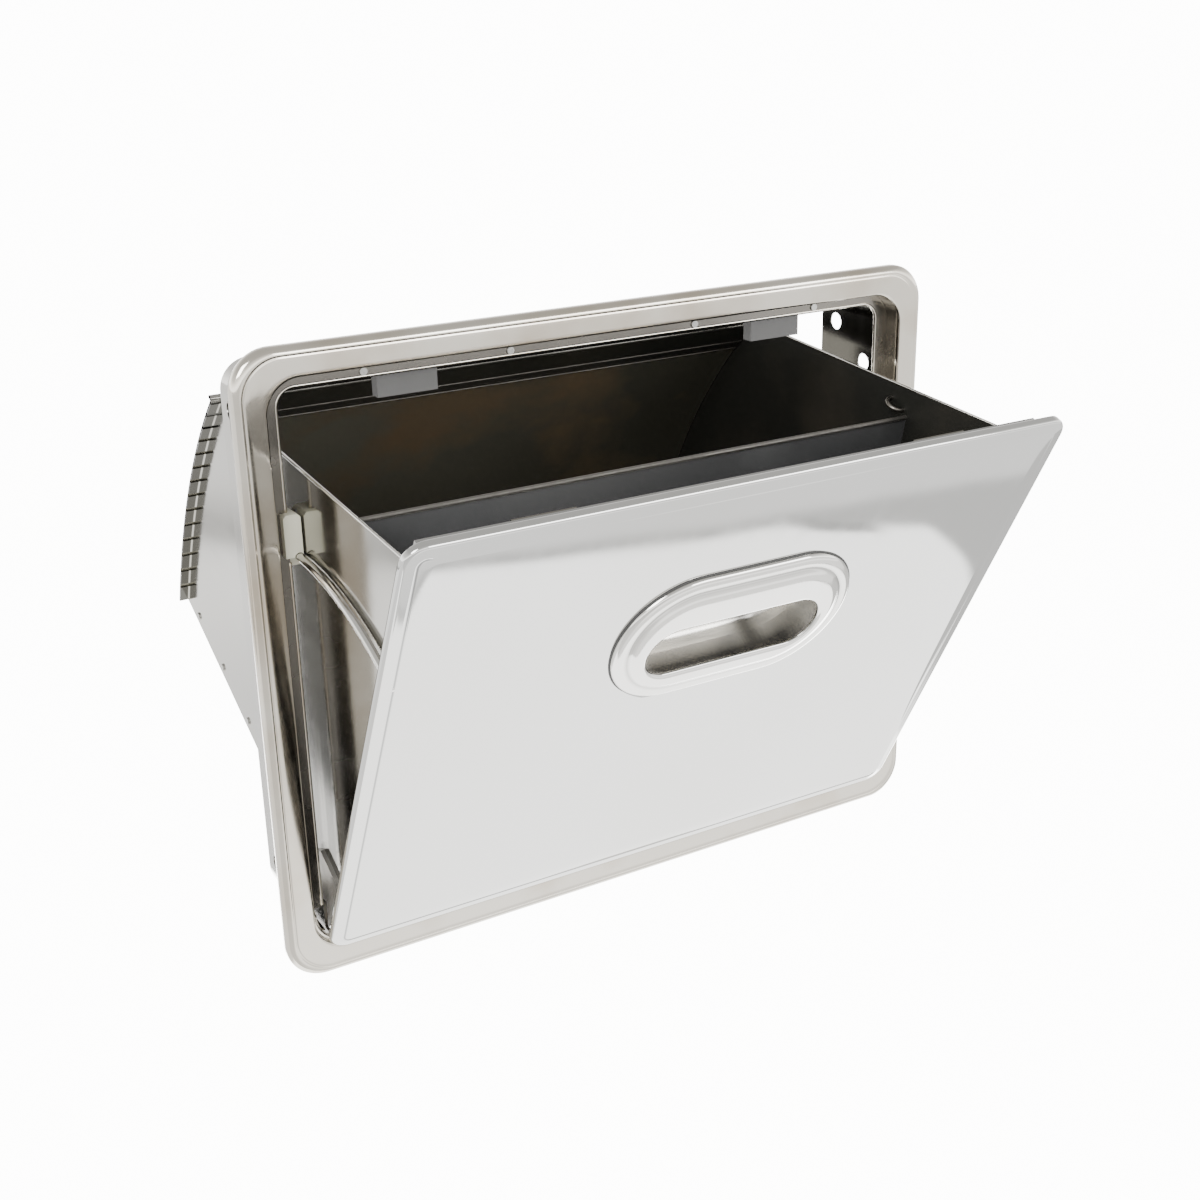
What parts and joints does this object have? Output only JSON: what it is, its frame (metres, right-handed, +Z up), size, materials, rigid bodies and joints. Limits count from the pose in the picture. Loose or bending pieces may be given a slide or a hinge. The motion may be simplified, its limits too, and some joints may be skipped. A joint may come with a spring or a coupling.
{
  "type": "tilt-out trash drawer",
  "caption": "Polished stainless tilt-out trash drawer: a face frame for an island cut-out and a door with a finger pull and sheet-metal bin that tilts forward on low pivot pins.",
  "frame": {"origin": "centre of the face frame's seat, on the plane of the island's face", "axes": "+X to the right seen from the front, +Y into the island, +Z up"},
  "size_m": [0.508, 0.4559, 0.417],
  "materials": {
    "stainless_polished": "polished",
    "stainless_sheet": "semi-polished",
    "steel_hardware": "satin",
    "white_nylon": "matte",
    "catch_grey": "matte"
  },
  "bodies": {
    "frame_body": {"face_frame": "stainless_polished", "stop_lip": "stainless_sheet", "side_collar_left": "stainless_sheet", "side_collar_right": "stainless_sheet", "pivot_bracket_left": "stainless_sheet", "pivot_bracket_right": "stainless_sheet", "bracket_rivets": "steel_hardware", "pivot_pin_left": "steel_hardware", "pivot_pin_right": "steel_hardware", "retaining_clips": "steel_hardware", "guide_block_left": "white_nylon", "guide_block_right": "white_nylon", "guide_block_screws": "steel_hardware", "catch_bracket_left": "stainless_sheet", "catch_bracket_right": "stainless_sheet", "catch_rivets": "steel_hardware", "catch_magnet_left": "catch_grey", "catch_magnet_right": "catch_grey", "catch_screws": "steel_hardware"},
    "drawer_body": {"door_skin": "stainless_polished", "door_liner": "stainless_sheet", "handle_bezel": "stainless_polished", "handle_cup": "stainless_polished", "handle_studs": "steel_hardware", "handle_nuts": "steel_hardware", "bin_side_left": "stainless_sheet", "bin_side_right": "stainless_sheet", "bin_back": "stainless_sheet", "bin_floor": "stainless_sheet", "bin_front": "stainless_sheet", "bin_rivets": "steel_hardware", "pivot_arm_left": "stainless_sheet", "pivot_arm_right": "stainless_sheet", "pivot_bush_left": "white_nylon", "pivot_bush_right": "white_nylon", "guide_rod_left": "steel_hardware", "guide_rod_right": "steel_hardware", "rod_stop_pins": "steel_hardware", "strike_plate_left": "steel_hardware", "strike_plate_right": "steel_hardware", "bag_hook_left": "steel_hardware", "bag_hook_right": "steel_hardware"}
  },
  "joints": [
    {"name": "drawer_tilt", "type": "hinge", "parent": "frame_body", "child": "drawer_body", "pos_m": [0, 0.007, -0.1935], "axis": [1, 0, 0], "range_deg": [-27.4, 0]}
  ]
}
